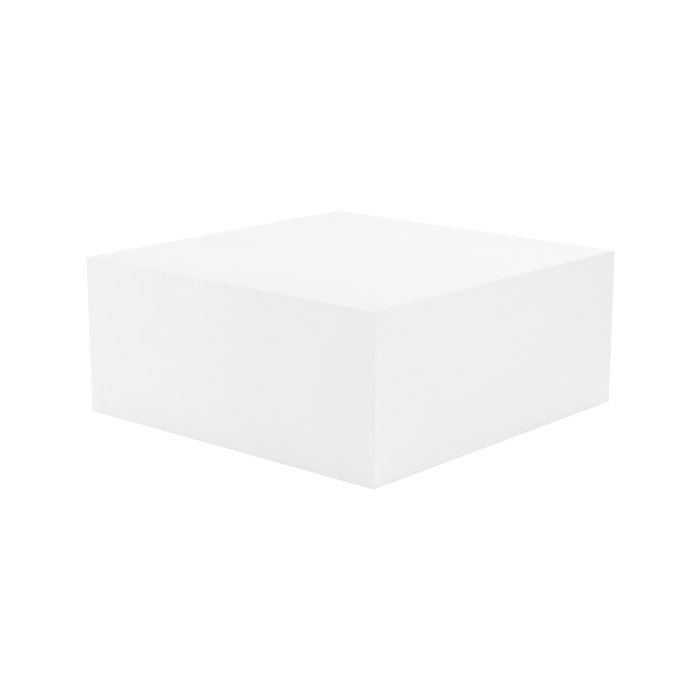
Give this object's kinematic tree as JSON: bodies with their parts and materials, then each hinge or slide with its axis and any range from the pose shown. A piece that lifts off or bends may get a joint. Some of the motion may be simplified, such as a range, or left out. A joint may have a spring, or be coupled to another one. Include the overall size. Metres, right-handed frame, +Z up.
{
  "type": "display plinth",
  "caption": "Low square white display plinth: mitred lacquered board box, open underneath, stiffened by a timber frame and stood on screw levelling feet.",
  "frame": {"origin": "on the floor under the plinth's centre, with the levelling feet wound fully in and its lower edges on the floor", "axes": "+Z up, +X to the right along the front, -Y towards the front"},
  "size_m": [0.6, 0.6, 0.254],
  "materials": {
    "lacquered_mdf": "satin",
    "softwood": "planed",
    "birch_plywood": "sanded",
    "beech": "pressed",
    "zinc_plated_steel": "bright",
    "yellow_zinc_steel": "bright",
    "black_nylon": "moulded",
    "grey_rubber": "matt"
  },
  "bodies": {
    "floor_pads": {"foot_pad_front_left": "black_nylon", "foot_pad_front_right": "black_nylon", "foot_pad_back_left": "black_nylon", "foot_pad_back_right": "black_nylon", "foot_sole_front_left": "grey_rubber", "foot_sole_front_right": "grey_rubber", "foot_sole_back_left": "grey_rubber", "foot_sole_back_right": "grey_rubber"},
    "plinth_box": {"top_panel": "lacquered_mdf", "front_panel": "lacquered_mdf", "right_panel": "lacquered_mdf", "back_panel": "lacquered_mdf", "left_panel": "lacquered_mdf", "top_batten_front": "softwood", "base_rail_front": "softwood", "top_batten_right": "softwood", "base_rail_right": "softwood", "top_batten_back": "softwood", "base_rail_back": "softwood", "top_batten_left": "softwood", "base_rail_left": "softwood", "cross_rib_left_right": "birch_plywood", "cross_rib_front_back": "birch_plywood", "corner_post_front_left": "softwood", "foot_plate_front_left": "birch_plywood", "tee_nut_front_left": "zinc_plated_steel", "lock_nut_front_left": "zinc_plated_steel", "corner_post_front_right": "softwood", "foot_plate_front_right": "birch_plywood", "tee_nut_front_right": "zinc_plated_steel", "lock_nut_front_right": "zinc_plated_steel", "corner_post_back_left": "softwood", "foot_plate_back_left": "birch_plywood", "tee_nut_back_left": "zinc_plated_steel", "lock_nut_back_left": "zinc_plated_steel", "corner_post_back_right": "softwood", "foot_plate_back_right": "birch_plywood", "tee_nut_back_right": "zinc_plated_steel", "lock_nut_back_right": "zinc_plated_steel", "corner_biscuits": "beech", "top_biscuits": "beech", "panel_screws": "yellow_zinc_steel", "post_screws": "yellow_zinc_steel", "plate_screws": "yellow_zinc_steel"},
    "stem_front_left": {"foot_stem_front_left": "zinc_plated_steel"},
    "stem_front_right": {"foot_stem_front_right": "zinc_plated_steel"},
    "stem_back_left": {"foot_stem_back_left": "zinc_plated_steel"},
    "stem_back_right": {"foot_stem_back_right": "zinc_plated_steel"}
  },
  "joints": [
    {"name": "plinth_lift", "type": "slide", "parent": "floor_pads", "child": "plinth_box", "axis": [0, 0, 1], "range_m": [0, 0.015]},
    {"name": "stem_turn_front_left", "type": "hinge", "parent": "floor_pads", "child": "stem_front_left", "pos_m": [-0.247, -0.247, 0.0105], "axis": [0, 0, -1], "range_deg": [0, 3600.5]},
    {"name": "stem_turn_front_right", "type": "hinge", "parent": "floor_pads", "child": "stem_front_right", "pos_m": [0.247, -0.247, 0.0105], "axis": [0, 0, -1], "range_deg": [0, 3600.5]},
    {"name": "stem_turn_back_left", "type": "hinge", "parent": "floor_pads", "child": "stem_back_left", "pos_m": [-0.247, 0.247, 0.0105], "axis": [0, 0, -1], "range_deg": [0, 3600.5]},
    {"name": "stem_turn_back_right", "type": "hinge", "parent": "floor_pads", "child": "stem_back_right", "pos_m": [0.247, 0.247, 0.0105], "axis": [0, 0, -1], "range_deg": [0, 3600.5]}
  ],
  "couplings": [
    {"joint": "stem_turn_front_left", "follows": "plinth_lift", "rad_per_m": 4188.8},
    {"joint": "stem_turn_front_right", "follows": "plinth_lift", "rad_per_m": 4188.8},
    {"joint": "stem_turn_back_left", "follows": "plinth_lift", "rad_per_m": 4188.8},
    {"joint": "stem_turn_back_right", "follows": "plinth_lift", "rad_per_m": 4188.8}
  ]
}
